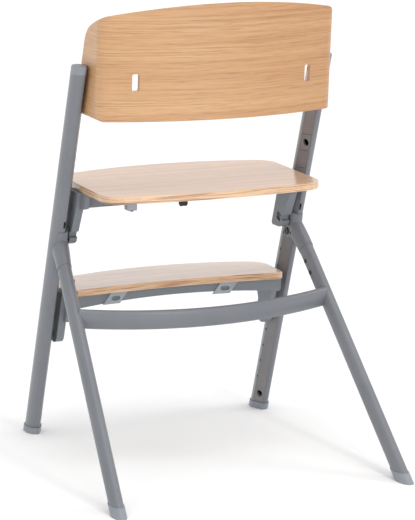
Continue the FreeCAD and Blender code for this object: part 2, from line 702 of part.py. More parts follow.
def make_board(label, top, front, front_radius, rear, rear_radius, rear_sign, front_corner, rear_corner,
               screws):
    """Ply board with bowed front and rear edges; rear_sign -1 bows the rear edge inwards."""
    body = doc.addObject("PartDesign::Body", label + "_ply")
    sketch = new_sketch(body, label + "_outline")
    half = dim("board_half_width")
    fr = dim(front_radius)
    rr = dim(rear_radius)
    fy = dim(front) + fr
    ry = dim(rear) - rear_sign * rr
    front_y = fy - math.sqrt(fr * fr - half * half)
    rear_y = ry + rear_sign * math.sqrt(rr * rr - half * half)
    turn_f = math.degrees(math.asin(half / fr))
    turn_r = math.degrees(math.asin(half / rr))
    sketch.addGeometry(Part.LineSegment(Vector(half, front_y, 0), Vector(half, rear_y, 0)))
    if rear_sign > 0:
        sketch.addGeometry(arc_of((0, ry), rr, 90 - turn_r, 90 + turn_r))
        ends = (1, 2)
    else:
        sketch.addGeometry(arc_of((0, ry), rr, 270 - turn_r, 270 + turn_r))
        ends = (2, 1)
    sketch.addGeometry(Part.LineSegment(Vector(-half, rear_y, 0), Vector(-half, front_y, 0)))
    sketch.addGeometry(arc_of((0, fy), fr, 270 - turn_f, 270 + turn_f))
    add = sketch.addConstraint
    add(Sketcher.Constraint("Coincident", 0, 2, 1, ends[0]))
    add(Sketcher.Constraint("Coincident", 1, ends[1], 2, 1))
    add(Sketcher.Constraint("Coincident", 2, 2, 3, 1))
    add(Sketcher.Constraint("Coincident", 3, 2, 0, 1))
    add(Sketcher.Constraint("Vertical", 0))
    add(Sketcher.Constraint("Vertical", 2))
    add(Sketcher.Constraint("PointOnObject", 1, 3, -2))
    add(Sketcher.Constraint("PointOnObject", 3, 3, -2))
    name_constraint(sketch, Sketcher.Constraint("Radius", 1, rr), "RearRadius", rear_radius)
    name_constraint(sketch, Sketcher.Constraint("Radius", 3, fr), "FrontRadius", front_radius)
    name_constraint(sketch, Sketcher.Constraint("DistanceX", -1, 1, 0, 1, half), "RightSide", "board_half_width")
    name_constraint(sketch, Sketcher.Constraint("DistanceX", 2, 1, -1, 1, half), "LeftSide", "board_half_width")
    name_constraint(sketch, Sketcher.Constraint("DistanceY", -1, 1, 3, 3, fy), "FrontCentre",
                    front + " + " + front_radius)
    sign = "-" if rear_sign > 0 else "+"
    if ry < 0:
        name_constraint(sketch, Sketcher.Constraint("DistanceY", 1, 3, -1, 1, -ry), "RearCentre",
                        "-(%s %s %s)" % (rear, sign, rear_radius))
    else:
        name_constraint(sketch, Sketcher.Constraint("DistanceY", -1, 1, 1, 3, ry), "RearCentre",
                        "%s %s %s" % (rear, sign, rear_radius))
    pad = body.newObject("PartDesign::Pad", label + "_pad")
    pad.Profile = sketch
    bind(pad, Length="board_thickness")
    doc.recompute()
    tip = pad
    for name, key, where in (("front", front_corner, front_y), ("rear", rear_corner, rear_y)):
        edges = ["Edge%d" % (n + 1) for n, edge in enumerate(tip.Shape.Edges)
                 if len(edge.Vertexes) == 2 and edge.BoundBox.ZLength > 5
                 and abs(edge.BoundBox.YMin - where) < 0.5 and edge.BoundBox.YLength < 0.01]
        corner = body.newObject("PartDesign::Fillet", "%s_%s_corners" % (label, name))
        corner.Base = (tip, edges)
        bind(corner, Radius=key)
        doc.recompute()
        tip = corner
    rim = ["Edge%d" % (n + 1) for n, edge in enumerate(tip.Shape.Edges) if edge.BoundBox.ZLength < 0.01]
    soft = body.newObject("PartDesign::Fillet", label + "_rim")
    soft.Base = (tip, rim)
    bind(soft, Radius="board_edge")
    body.Placement = Placement(Vector(0, 0, dim(top) - dim("board_thickness")), Rotation())
    bind(body, Placement__Base__z=top + " - board_thickness")
    tools = []
    for n, (x, y) in enumerate(screws):
        tools.append(rod("%s_screw_hole_%d" % (label, n), "screw_hole", "10",
                         (x, y, dim(top) - dim("board_thickness") - 1), (0, 0, 1)))
    hand_in(cut(label, body, tools), label)


make_board("seat_board", "seat_top", "seat_front", "seat_front_radius", "seat_rear", "seat_rear_radius", 1,
           "seat_corner", "seat_corner", SEAT_SCREWS + BLOCK_SCREWS)
make_board("footrest_board", "rest_top", "rest_front", "rest_front_radius", "rest_rear", "rest_rear_radius",
           -1, "rest_front_corner", "rest_rear_corner", REST_SCREWS)


# ---------------------------------------------------------------- backrest
# outline of the bevel tool seen along the post: away from the middle and behind the post's axis
BACK_BEVEL = ((-14.5, -25.5), (-21.0, -4.5), (-60.0, -4.5), (-60.0, -60.0), (-14.5, -60.0))


def make_backrest():
    """U-bent ply board between the posts, leaning back, with a crowned top and two slots."""
    depth = dim("back_thickness")
    big = dim("back_bend_radius")
    small = dim("back_corner_radius")
    half = dim("back_half_width")
    middle_y = dim("back_rear_y") - big
    corner_x = half - small
    corner_y = middle_y + math.sqrt((big - small) ** 2 - corner_x ** 2)
    tangent = math.degrees(math.atan2(corner_y - middle_y, corner_x))
    front = -120.0
    body = doc.addObject("PartDesign::Body", "backrest_bend")
    sketch = new_sketch(body, "backrest_plan")
    for inset in (0.0, depth):
        sketch.addGeometry(arc_of((0, middle_y), big - inset, tangent, 180 - tangent))
        for sign in (1, -1):
            start, end = (0, tangent) if sign > 0 else (180 - tangent, 180)
            sketch.addGeometry(arc_of((sign * corner_x, corner_y), small - inset, start, end))
            x = sign * (half - inset)
            sketch.addGeometry(Part.LineSegment(Vector(x, corner_y, 0), Vector(x, front, 0)))
    for sign in (1, -1):
        sketch.addGeometry(Part.LineSegment(Vector(sign * half, front, 0), Vector(sign * (half - depth), front, 0)))
    pad = body.newObject("PartDesign::Pad", "backrest_sweep")
    pad.Profile = sketch
    bind(pad, Length="(back_top - back_bottom) * 1.25")
    skew = dim("back_lean")
    body.Placement = Placement(Vector(0, 0, dim("back_bottom") - 20), Rotation(Vector(1, 0, 0), -skew))
    # front elevation: level bottom and crowned top
    crown = doc.addObject("Part::Cylinder", "backrest_crown")
    bind(crown, Radius="back_crown_radius", Height="500")
    crown.Placement = Placement(Vector(0, 250, dim("back_top") - dim("back_crown_radius")),
                                Rotation(Vector(1, 0, 0), 90))
    crowned = common("backrest_crowned", body, crown)
    level = common("backrest_level", crowned, slab("backrest_slab", "back_bottom", "back_top"))
    # side elevation: ends parallel to the posts, a round corner, then a slope up to the crown
    outline = doc.addObject("PartDesign::Body", "backrest_side")
    side_sketch = new_sketch(outline, "backrest_side_outline", "YZ_Plane")
    low = dim("back_bottom") - 5
    peak = dim("back_end_peak")
    line = dim("back_end")
    start = on_post(1, 0, line, up_axis(low, line))
    corner = on_post(1, 0, line, up_axis(peak, line))
    slope = math.radians(dim("back_end_slope"))
    rise = Vector(math.cos(slope), math.sin(slope), 0)
    fall = Vector(-math.sin(lean), -math.cos(lean), 0)
    radius = dim("back_end_corner")
    half_turn = (math.pi / 2 - lean - slope) / 2
    reach = radius * math.tan(half_turn)
    apex = Vector(corner.y, corner.z, 0)
    first = apex + fall * reach
    last = apex + rise * reach
    centre = first + Vector(fall.y * -1, fall.x, 0) * radius
    high = apex + rise * 190
    angles = [math.degrees(math.atan2(end.y - centre.y, end.x - centre.x)) for end in (last, first)]
    ends = [last, high, Vector(high.x, low, 0), Vector(start.y, low, 0), first]
    side_sketch.addGeometry(arc_of((centre.x, centre.y), radius, angles[0], angles[1]))
    for head, tail in zip(ends, ends[1:]):
        side_sketch.addGeometry(Part.LineSegment(head, tail))
    side_pad = outline.newObject("PartDesign::Pad", "backrest_side_pad")
    side_pad.Profile = side_sketch
    side_pad.SideType = "Symmetric"
    bind(side_pad, Length="2 * back_half_width + 20")
    shaped = common("backrest_shaped", level, outline)
    slots = corner_tools()
    for word, side in SIDES:
        slots.append(slot_tool("backrest_slot_" + word, side))
        # rebate that lies against the post and its cap
        oval = oval_bar("backrest_post_" + word, "post_half_width + 0.05", "post_half_depth + 0.05",
                        "post_end_radius + 0.05", "900", post_frame(side), -40)
        beyond = box("backrest_facet_" + word, ("80", "40", "940"), ("-40", "0.05", "-60"), facet_frame(side))
        faced = cut("backrest_post_faced_" + word, oval, beyond)
        slots.append(common("backrest_rebate_" + word, faced, slab("backrest_rebate_slab_" + word,
                                                                   "600", "cap_top + 0.3")))
        # the front end is bevelled on the inner side
        bevel = outline_plate("backrest_bevel_" + word, [(side * x, v) for x, v in BACK_BEVEL], "900", "XY_Plane")
        bevel.Placement = post_frame(side).multiply(Placement(Vector(0, 0, 760), Rotation()))
        slots.append(bevel)
        for n, point in enumerate(back_bolt_points(side, dim("post_axis_x"))):
            slots.append(rod("backrest_bolt_hole_%s_%d" % (word, n), "bolt_shank + 0.1", "40", point, inward(side)))
        for n, point in enumerate(back_bolt_points(side, dim("back_bolt_seat"))):
            slots.append(rod("backrest_bolt_seat_%s_%d" % (word, n), "bolt_head + 0.4", "20", point, inward(side)))
    hand_in(cut("backrest_board", shaped, slots), "backrest_board")


def corner_tool(name, side, radius, x, z, rise):
    """Cutter that rounds an outer corner of the board, seen from behind, about a centre at x and z."""
    half = dim("back_half_width")
    low = z if rise > 0 else z - 30
    wide = half + 10 - x
    block = box(name + "_block", (str(wide), "400", "30"),
                (str(side * x if side > 0 else -x - wide), "-150", str(low)))
    centre = Vector(side * (half - radius), -160, z)
    return cut(name, block, rod(name + "_round", str(radius), "420", centre, (0, 1, 0)))


def corner_tools():
    """The four corners: the upper ones run tangent into the crown, the lower ones into the level bottom."""
    half = dim("back_half_width")
    crown = dim("back_crown_radius")
    top = dim("back_top_round")
    bottom = dim("back_bottom_round")
    across = half - top
    high = dim("back_top") - crown + math.sqrt((crown - top) ** 2 - across ** 2)
    tools = []
    for word, side in SIDES:
        tools.append(corner_tool("backrest_top_corner_" + word, side, top, across * crown / (crown - top), high, 1))
        tools.append(corner_tool("backrest_low_corner_" + word, side, bottom, half - bottom,
                                 dim("back_bottom") + bottom, -1))
    return tools


def slot_tool(name, side):
    """Upright slot with rounded corners, cut straight from rear to front."""
    body = doc.addObject("PartDesign::Body", name)
    sketch = new_sketch(body, name + "_outline", "XZ_Plane")
    half_w = dim("back_slot_width") / 2
    half_h = dim("back_slot_height") / 2
    corners = [Vector(half_w, half_h, 0), Vector(-half_w, half_h, 0),
               Vector(-half_w, -half_h, 0), Vector(half_w, -half_h, 0)]
    for first, second in zip(corners, corners[1:] + corners[:1]):
        sketch.addGeometry(Part.LineSegment(first, second))
    for n in range(4):
        sketch.addConstraint(Sketcher.Constraint("Coincident", n, 2, (n + 1) % 4, 1))
    for n, kind in enumerate(("Horizontal", "Vertical", "Horizontal", "Vertical")):
        sketch.addConstraint(Sketcher.Constraint(kind, n))
    sketch.addConstraint(Sketcher.Constraint("Symmetric", 0, 1, 1, 2, -1, 1))
    name_constraint(sketch, Sketcher.Constraint("DistanceX", 0, 2, 0, 1, 2 * half_w), "Wide", "back_slot_width")
    name_constraint(sketch, Sketcher.Constraint("DistanceY", 1, 2, 1, 1, 2 * half_h), "High", "back_slot_height")
    pad = body.newObject("PartDesign::Pad", name + "_pad")
    pad.Profile = sketch
    pad.SideType = "Symmetric"
    bind(pad, Length="60")
    doc.recompute()
    edges = ["Edge%d" % (n + 1) for n, edge in enumerate(pad.Shape.Edges) if edge.BoundBox.YLength > 50]
    soft = body.newObject("PartDesign::Fillet", name + "_corners")
    soft.Base = (pad, edges)
    bind(soft, Radius="3")
    x = dim("back_slot_x")
    body.Placement = Placement(Vector(side * x, 82, dim("back_slot_z")), Rotation())
    bind(body, Placement__Base__z="back_slot_z")
    return body


make_backrest()


# ---------------------------------------------------------------- carriers
def ear_profile(name, front, rear, bottom, top, thick):
    """Upright ear beside the post: rounded bottom, in the post's frame, centred on X = 0."""
    body = doc.addObject("PartDesign::Body", name)
    sketch = new_sketch(body, name + "_outline", "YZ_Plane")
    f = dim(front)
    r = dim(rear)
    mid = (f + r) / 2
    radius = (r - f) / 2
    sketch.addGeometry(Part.LineSegment(Vector(r, bottom + radius, 0), Vector(r, top, 0)))
    sketch.addGeometry(Part.LineSegment(Vector(r, top, 0), Vector(f, top, 0)))
    sketch.addGeometry(Part.LineSegment(Vector(f, top, 0), Vector(f, bottom + radius, 0)))
    sketch.addGeometry(arc_of((mid, bottom + radius), radius, 180, 360))
    pad = body.newObject("PartDesign::Pad", name + "_pad")
    pad.Profile = sketch
    pad.SideType = "Symmetric"
    bind(pad, Length=thick)
    return body


def beam_plate(name, rear_mid, rear_radius, rear_sign, low, high, arch_rise, half_span, thickness):
    """Curved upright wall under a board: follows the rear edge, its lower edge arched."""
    body = doc.addObject("PartDesign::Body", name)
    sketch = new_sketch(body, name + "_plan")
    centre_y = rear_mid - rear_sign * rear_radius
    for radius in (rear_radius, rear_radius - rear_sign * thickness):
        turn = math.degrees(math.asin(half_span / radius))
        base = 90 if rear_sign > 0 else 270
        sketch.addGeometry(arc_of((0, centre_y), radius, base - turn, base + turn))
    ends = []
    for radius in (rear_radius, rear_radius - rear_sign * thickness):
        ends.append(centre_y + rear_sign * math.sqrt(radius ** 2 - half_span ** 2))
    for x in (half_span, -half_span):
        sketch.addGeometry(Part.LineSegment(Vector(x, ends[0], 0), Vector(x, ends[1], 0)))
    pad = body.newObject("PartDesign::Pad", name + "_pad")
    pad.Profile = sketch
    bind(pad, Length="%s" % (high - low))
    body.Placement = Placement(Vector(0, 0, low), Rotation())
    span = 2 * half_span
    radius = (span * span / 4 + arch_rise * arch_rise) / (2 * arch_rise)
    arch = rod(name + "_arch", str(radius), "400", (0, rear_mid + 200, low + arch_rise - radius), (0, -1, 0))
    return cut(name + "_arched", body, arch)


def pin_window(name, side, height, size):
    """Square recess in an ear's inner face around its index pin."""
    inner = dim("ear_outer") - dim("ear_thickness")
    item = doc.addObject("Part::Box", name)
    bind(item, Length="pin_window", Width=size, Height=size)
    point = on_post(side, inner - 0.1, 0, height)
    half = evaluate(size) / 2
    corner = Vector(0 if side > 0 else -dim("pin_window"), -half, -half)
    item.Placement = Placement(point, Rotation(Vector(1, 0, 0), -dim("post_lean"))).multiply(
        Placement(corner, Rotation()))
    return item


# side view of the seat's ear: distance behind the post's axis and height
SEAT_EAR = ((-25, 545), (-25, 408), (-20, 403), (8, 404), (16, 408), (19, 413), (19, 418), (13, 420.5),
            (13, 429), (21, 431), (22, 435), (30, 478), (30, 545))


def make_seat_carrier():
    items = []
    windows = []
    board_low = dim("seat_top") - dim("board_thickness")
    ear_x = dim("ear_outer") - dim("ear_thickness") / 2
    for word, side in SIDES:
        ear = outline_plate("seat_ear_" + word, [(v, up_axis(z, v)) for v, z in SEAT_EAR], "ear_thickness")
        base = Vector(side * ear_x, dim("post_axis_y"), 0)
        ear.Placement = Placement(base, Rotation(Vector(1, 0, 0), -dim("post_lean")))
        items.append(common("seat_ear_level_" + word, ear, slab("seat_ear_slab_" + word, "300", str(board_low))))
        # top flange along the side of the board
        flange = outline_plate("seat_flange_" + word, [(-190, board_low), (-190, board_low - 9),
                                                       (-150, board_low - 34), (-74, board_low - 34),
                                                       (-54, board_low - 28.5), (-50, board_low - 9),
                                                       (-50, board_low)], "9")
        flange.Placement = Placement(Vector(side * (dim("ear_outer") - 14.0), 0, 0), Rotation())
        items.append(flange)
        windows.append(pin_window("seat_window_" + word, side, seat_pin_height(), "window"))
        windows.append(rod("seat_pin_bore_" + word, "pin_radius + 0.05", "30",
                           on_post(side, dim("ear_outer") + 5, 0, seat_pin_height()), inward(side)))
    items.append(beam_plate("seat_rear_beam", -52.0, 2400.0, 1, board_low - 28.5, board_low, 2.5, 212.0, 7.0))
    items.append(beam_plate("seat_front_beam", -176.0, 2400.0, 1, board_low - 24, board_low, 8.0, 212.0, 7.0))
    for n, (x, y) in enumerate(SEAT_SCREWS):
        windows.append(rod("seat_plate_hole_%d" % n, "screw_hole", "20", (x, y, board_low - 15), (0, 0, 1)))
    top = box("seat_top_plate", ("424", "140", "5"), ("-212", "-190", str(board_low - 5)))
    items.append(top)
    hand_in(cut("seat_carrier", join("seat_carrier_blank", items), windows), "seat_carrier")


def seat_pin_height():
    """Distance along the axis of the index hole that the seat rests in."""
    return dim("index_start") + 10 * dim("index_pitch")


def rest_pin_height():
    return dim("index_start") + 4 * dim("index_pitch")


def make_rest_carrier():
    items = []
    holes = []
    board_low = dim("rest_top") - dim("board_thickness")
    ear_x = dim("ear_outer") - dim("ear_thickness") / 2
    for word, side in SIDES:
        ear = ear_profile("rest_ear_" + word, "rest_ear_front", "rest_ear_rear",
                          up_axis(dim("rest_ear_bottom")), up_axis(board_low + 40), "ear_thickness")
        base = Vector(side * ear_x, dim("post_axis_y"), 0)
        ear.Placement = Placement(base, Rotation(Vector(1, 0, 0), -dim("post_lean")))
        items.append(common("rest_ear_level_" + word, ear, slab("rest_ear_slab_" + word, "100", str(board_low))))
        flange = outline_plate("rest_flange_" + word, [(-232, board_low), (-232, board_low - 10),
                                                       (-214, board_low - 60), (-168, board_low - 60),
                                                       (-146, board_low - 30), (-127, board_low - 24),
                                                       (-124, board_low)], "9")
        flange.Placement = Placement(Vector(side * (dim("ear_outer") - 14.0), 0, 0), Rotation())
        items.append(flange)
        holes.append(pin_window("rest_window_" + word, side, rest_pin_height(), "window - 2"))
        holes.append(rod("rest_pin_bore_" + word, "pin_radius + 0.05", "30",
                         on_post(side, dim("ear_outer") + 5, 0, rest_pin_height()), inward(side)))
    items.append(beam_plate("rest_rear_beam", -139.0, dim("rest_rear_radius"), -1, board_low - 26, board_low,
                            9.0, 212.0, 6.0))
    for n, (x, y) in enumerate(REST_SCREWS):
        holes.append(rod("rest_plate_hole_%d" % n, "screw_hole", "20", (x, y, board_low - 15), (0, 0, 1)))
    items.append(box("rest_top_plate", ("424", "92", "5"), ("-212", "-238", str(board_low - 5))))
    hand_in(cut("footrest_carrier", join("rest_carrier_blank", items), holes), "footrest_carrier")


make_seat_carrier()
make_rest_carrier()


# ---------------------------------------------------------------- screws, pins and latches
def screw(name, radius, height, point, out, shank=2.0, depth=10.0):
    """Screw with a low head standing on `point` and a shank going the other way."""
    out = Vector(*out)
    out.normalize()
    head = doc.addObject("Part::Cylinder", name + "_head")
    bind(head, Radius=radius, Height=height)
    turn = Rotation(Vector(0, 0, 1), out)
    head.Placement = Placement(point, turn)
    cross = []
    for n, size in enumerate(((1.0, 0.28), (0.28, 1.0))):
        r = evaluate(radius)
        bar = doc.addObject("Part::Box", "%s_cross_%d" % (name, n))
        bind(bar, Length=str(round(size[0] * r * 1.1, 2)), Width=str(round(size[1] * r * 1.1, 2)), Height="2")
        corner = Vector(-size[0] * r * 0.55, -size[1] * r * 0.55, evaluate(height) - 0.9)
        bar.Placement = Placement(point, turn).multiply(Placement(corner, Rotation()))
        cross.append(bar)
    topped = cut(name + "_drive", head, cross)
    body = doc.addObject("Part::Cylinder", name + "_shank")
    bind(body, Radius=str(shank), Height=str(depth))
    body.Placement = Placement(point + out * -depth, turn)
    return join(name, [topped, body])


# pivot bolts: a shaft through post and fork, a large cross head on the inner side
for word, side in SIDES:
    inner_x = 227.6
    start = Vector(side * inner_x, PIVOT.y, PIVOT.z)
    shaft = rod(word + "_pivot_shaft", "pivot_radius", "22", start, (side, 0, 0))
    head = rod(word + "_pivot_head", "big_head", "2.6", start, (-side, 0, 0))
    bars = []
    for n, size in enumerate(((9.0, 2.2), (2.2, 9.0))):
        low = Vector(start.x - side * 1.6 - (0 if side < 0 else 2.0), start.y - size[0] / 2, start.z - size[1] / 2)
        bar = doc.addObject("Part::Box", "%s_pivot_cross_%d" % (word, n))
        bind(bar, Length="2", Width=str(size[0]), Height=str(size[1]))
        bar.Placement = Placement(low, Rotation())
        bars.append(bar)
    hand_in(join(word + "_pivot_bolt", [cut(word + "_pivot_drive", head, bars), shaft]), word + "_pivot_bolt")


def make_pin(label, side, height):
    """Index pin drawn back from its hole: shaft in the ear, head in the ear's window."""
    tip = dim("ear_outer") + 5.2 - dim("pin_throw")
    start = on_post(side, tip, 0, height)
    shaft = rod(label + "_shaft", "pin_radius", "pin_length", start, inward(side))
    head_x = dim("ear_outer") - dim("ear_thickness") + dim("pin_window") - 0.4 - dim("pin_throw")
    head_at = on_post(side, head_x, 0, height)
    head = rod(label + "_head", "pin_head", "pin_head_height", head_at, inward(side))
    hand_in(join(label, [shaft, head]), label)


for word, side in SIDES:
    make_pin(word + "_seat_pin", side, seat_pin_height())
    make_pin(word + "_footrest_pin", side, rest_pin_height())
    latch = latch_box(word + "_fold_latch_tab", side, 0.0, 0.0)
    ridge = rod(word + "_latch_ridge", "1.0", "latch_width - 1",
                latch.Placement.multVec(Vector(0.5, 6.6, 5.0)), (1, 0, 0))
    hand_in(join(word + "_fold_latch", [latch, ridge]), word + "_fold_latch")

leg_screws = []
knuckle_screws = []
back_bolts = []
for word, side in SIDES:
    frame = leg_frame(side)
    out = frame.Rotation.multVec(Vector(-side, 0, 0))
    for n, point in enumerate(leg_screw_points(side)):
        leg_screws.append(screw("%s_leg_screw_%d" % (word, n), "leg_head", "1.8",
                                frame.multVec(point + Vector(side * 0.5, 0, 0)), out))
    knuckle_screws.append(screw(word + "_knuckle_screw", "2.7", "1.4", Vector(side * 231.6, -110.0, 393.0),
                                (-side, 0, 0), 1.5, 7.0))
    for n, point in enumerate(back_bolt_points(side, dim("back_bolt_seat"))):
        back_bolts.append(screw("%s_back_bolt_%d" % (word, n), "bolt_head", "2.6", point,
                                (-side, 0, 0), 3.0, 8.3))
hand_in(group("rear_leg_screws", leg_screws), "rear_leg_screws")
hand_in(group("knuckle_screws", knuckle_screws), "knuckle_screws")
hand_in(group("backrest_bolts", back_bolts), "backrest_bolts")

seat_low = dim("seat_top") - dim("board_thickness")
rest_low = dim("rest_top") - dim("board_thickness")
hand_in(group("seat_screws", [screw("seat_screw_%d" % n, "board_head", "1.8", Vector(x, y, seat_low - 5),
                                    (0, 0, -1), 2.0, 12.0)
                              for n, (x, y) in enumerate(SEAT_SCREWS)]), "seat_screws")
hand_in(group("footrest_screws", [screw("rest_screw_%d" % n, "board_head", "1.8", Vector(x, y, rest_low - 5),
                                        (0, 0, -1), 2.0, 12.0)
                                  for n, (x, y) in enumerate(REST_SCREWS)]), "footrest_screws")


def make_block(label, x, y, length, width, height, points):
    """Small block screwed under the seat board."""
    block = doc.addObject("Part::Box", label + "_block")
    bind(block, Length=length, Width=width, Height=height)
    block.Placement = Placement(Vector(x - evaluate(length) / 2, y - evaluate(width) / 2,
                                       seat_low - evaluate(height)), Rotation())
    soft = doc.addObject("Part::Fillet", label + "_soft")
    soft.Base = block
    doc.recompute()
    low = seat_low - evaluate(height)
    soft.Edges = [(n + 1, 2.0, 2.0) for n, edge in enumerate(block.Shape.Edges)
                  if edge.BoundBox.ZLength > 1 or abs(edge.BoundBox.ZMax - low) < 0.01]
    holes = [rod("%s_hole_%d" % (label, n), "screw_hole", "60", (px, py, seat_low - 50), (0, 0, 1))
             for n, (px, py) in enumerate(points)]
    hand_in(cut(label, soft, holes), label)
    return [screw("%s_screw_%d" % (label, n), "3.4", "1.5", Vector(px, py, low), (0, 0, -1), 2.0,
                  evaluate(height) + 7.0) for n, (px, py) in enumerate(points)]


block_screws = make_block("seat_strap_anchor", 68, 66.5, "anchor_length", "anchor_width", "anchor_height",
                          BLOCK_SCREWS[:2])
hand_in(group("strap_anchor_screws", block_screws), "strap_anchor_screws")
block_screws = make_block("seat_stop_block", 168.5, 61.5, "stop_length", "stop_width", "stop_height",
                          BLOCK_SCREWS[2:])
hand_in(group("stop_block_screws", block_screws), "stop_block_screws")


def make_clip(label, x):
    """Slanted plate with an oval hole on the rear of the footrest carrier."""
    radius = dim("rest_rear_radius")
    turn = math.degrees(math.asin(x / radius))
    y = -139.0 + radius - math.sqrt(radius ** 2 - x ** 2)
    points = [(26, -23), (-9, -23), (-26, -1), (9, -1)]
    plate = outline_plate(label + "_plate", points, "clip_thickness", "XZ_Plane")
    middle = Vector(x, y + dim("clip_thickness") / 2 + 0.15, rest_low)
    plate.Placement = Placement(middle, Rotation(Vector(0, 0, 1), turn))
    hole = oval_bar(label + "_hole", "4.5", "9", "4", "12", Placement())
    lay = Rotation(Vector(0, 0, 1), turn).multiply(Rotation(Vector(0, 0, 1), Vector(0, 1, 0)))
    spin = Rotation(Vector(0, 0, 1), 90)
    hole.Placement = Placement(Vector(x, y - 5, rest_low - 12.5), lay.multiply(spin))
    hand_in(cut(label, plate, hole), label)


for label, x in (("left_footrest_clip", 126.0), ("right_footrest_clip", -101.0)):
    make_clip(label, x)

doc.recompute()

for item in doc.Objects:
    if "Invalid" in item.State or "Error" in item.State:
        print("not sound:", item.Label, item.State)
os.makedirs("parts", exist_ok=True)
for item in PARTS:
    state = item.State
    shape = item.Shape
    if "Invalid" in state or "Error" in state or shape.isNull() or not shape.isValid():
        raise RuntimeError("%s is not sound: %s" % (item.Label, state))
    print("%-24s solids %d volume %.0f  x %.1f..%.1f y %.1f..%.1f z %.1f..%.1f" % (
        item.Label, len(shape.Solids), shape.Volume, shape.BoundBox.XMin, shape.BoundBox.XMax,
        shape.BoundBox.YMin, shape.BoundBox.YMax, shape.BoundBox.ZMin, shape.BoundBox.ZMax))
    shape.exportStep("parts/%s.step" % item.Label)
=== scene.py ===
import json
import math

import bpy
from mathutils import Matrix, Vector

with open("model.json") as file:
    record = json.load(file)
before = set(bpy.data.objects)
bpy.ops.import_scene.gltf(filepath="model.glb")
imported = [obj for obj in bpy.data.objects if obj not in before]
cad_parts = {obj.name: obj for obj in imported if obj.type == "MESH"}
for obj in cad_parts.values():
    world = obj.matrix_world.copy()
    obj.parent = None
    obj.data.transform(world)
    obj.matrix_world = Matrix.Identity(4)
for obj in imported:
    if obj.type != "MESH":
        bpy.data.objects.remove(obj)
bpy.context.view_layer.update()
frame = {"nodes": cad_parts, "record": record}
nodes = frame["nodes"]


# ---------------------------------------------------------------- node helpers
class Tree:
    """Short ways to make shader nodes in one material."""

    def __init__(self, name):
        self.material = bpy.data.materials.new(name)
        self.material.use_nodes = True
        self.tree = self.material.node_tree
        self.shader = self.tree.nodes["Principled BSDF"]
        self.coords = self.tree.nodes.new("ShaderNodeTexCoord")

    def node(self, kind, **values):
        item = self.tree.nodes.new(kind)
        for key, value in values.items():
            setattr(item, key, value)
        return item

    def link(self, source, target):
        self.tree.links.new(source, target)

    def stretch(self, scale, rotation=(0, 0, 0)):
        """Object coordinates scaled per axis, so that noise can be drawn out along the grain."""
        item = self.node("ShaderNodeMapping")
        item.inputs["Scale"].default_value = scale
        item.inputs["Rotation"].default_value = rotation
        self.link(self.coords.outputs["Object"], item.inputs["Vector"])
        return item.outputs["Vector"]

    def noise(self, vector, scale=1.0, detail=4.0, roughness=0.5, distortion=0.0):
        item = self.node("ShaderNodeTexNoise")
        item.inputs["Scale"].default_value = scale
        item.inputs["Detail"].default_value = detail
        item.inputs["Roughness"].default_value = roughness
        item.inputs["Distortion"].default_value = distortion
        self.link(vector, item.inputs["Vector"])
        return item.outputs["Fac"]

    def ramp(self, value, stops):
        item = self.node("ShaderNodeValToRGB")
        while len(item.color_ramp.elements) < len(stops):
            item.color_ramp.elements.new(0.5)
        for element, (place, colour) in zip(item.color_ramp.elements, stops):
            element.position = place
            element.color = (*colour, 1.0)
        self.link(value, item.inputs["Fac"])
        return item.outputs["Color"]

    def math(self, operation, *values, clamp=False):
        item = self.node("ShaderNodeMath", operation=operation, use_clamp=clamp)
        for socket, value in zip(item.inputs, values):
            if isinstance(value, (int, float)):
                socket.default_value = value
            else:
                self.link(value, socket)
        return item.outputs["Value"]

    def mix(self, factor, a, b, blend="MIX"):
        item = self.node("ShaderNodeMix", data_type="RGBA", blend_type=blend)
        for socket, value in ((item.inputs["Factor"], factor), (item.inputs[6], a), (item.inputs[7], b)):
            if isinstance(value, (int, float)):
                socket.default_value = value
            elif isinstance(value, tuple):
                socket.default_value = (*value, 1.0)
            else:
                self.link(value, socket)
        return item.outputs[2]

    def bump(self, height, strength, distance):
        item = self.node("ShaderNodeBump")
        item.inputs["Strength"].default_value = strength
        item.inputs["Distance"].default_value = distance
        self.link(height, item.inputs["Height"])
        return item.outputs["Normal"]


def linear(r, g, b):
    """Screen colour 0..255 to the linear colour that nodes take."""
    out = []
    for value in (r, g, b):
        value = value / 255
        out.append(value / 12.92 if value <= 0.04045 else ((value + 0.055) / 1.055) ** 2.4)
    return tuple(out)


# ---------------------------------------------------------------- materials
def powder_coat(name, colour, roughness=0.42, grit=1.0):
    """Satin powder coat: even colour with faint clouding and a fine orange-peel surface."""
    t = Tree(name)
    fine = t.noise(t.coords.outputs["Object"], scale=900.0, detail=3.0)
    peel = t.noise(t.coords.outputs["Object"], scale=420.0, detail=2.0)
    cloud = t.noise(t.coords.outputs["Object"], scale=9.0, detail=3.0)
    dark = tuple(c * 0.93 for c in colour)
    light = tuple(min(c * 1.06, 1.0) for c in colour)
    base = t.ramp(cloud, [(0.3, dark), (0.7, light)])
    speck = t.ramp(fine, [(0.35, (0.93, 0.93, 0.93)), (0.65, (1.05, 1.05, 1.05))])
    t.link(t.mix(1.0, base, speck, "MULTIPLY"), t.shader.inputs["Base Color"])
    rough = t.math("MULTIPLY_ADD", peel, 0.12, roughness - 0.06)
    t.link(rough, t.shader.inputs["Roughness"])
    height = t.math("ADD", peel, fine)
    t.link(t.bump(height, 0.10 * grit, 0.0004), t.shader.inputs["Normal"])
    t.shader.inputs["Specular IOR Level"].default_value = 0.45
    return t.material


